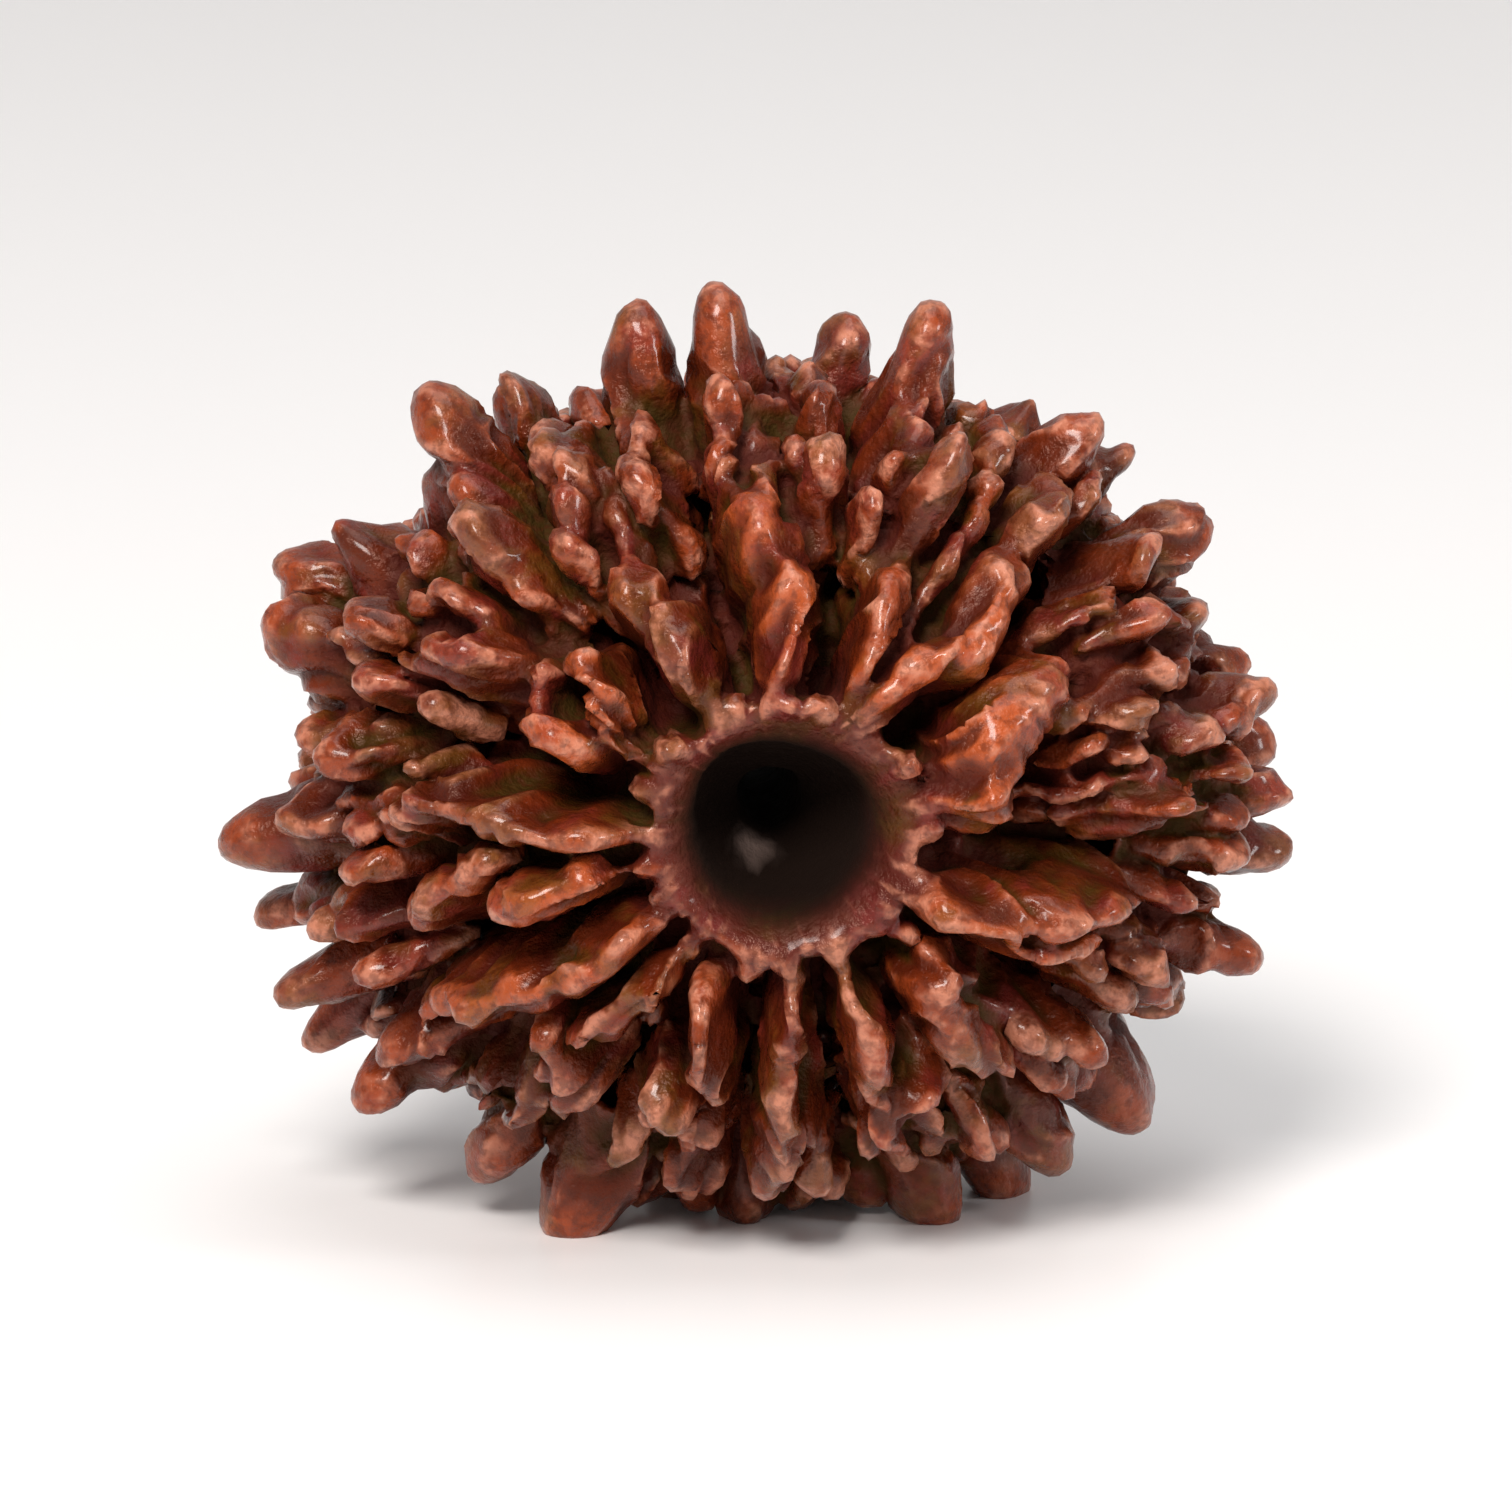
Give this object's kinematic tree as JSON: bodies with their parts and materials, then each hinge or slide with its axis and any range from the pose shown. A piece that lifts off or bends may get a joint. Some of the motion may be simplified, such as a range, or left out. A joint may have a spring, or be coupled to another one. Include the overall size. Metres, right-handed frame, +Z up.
{
  "type": "rudraksha bead",
  "caption": "Dried seed stone, wider than it is thick, with deep furrows, knobbly ridges and round-tipped teeth round a natural thread channel.",
  "frame": {"origin": "on the surface that the bead stands on, under the middle of its box", "axes": "+Z up; the thread channel runs along Y, and the face seen in the picture looks to -Y; X is the bead's longest extent"},
  "size_m": [0.03, 0.0211, 0.0265],
  "materials": {
    "seed_stone": "polished and oiled reddish-brown seed stone, near black in the furrows"
  },
  "bodies": {
    "root": {"rudraksha_bead": "seed_stone"}
  },
  "joints": []
}
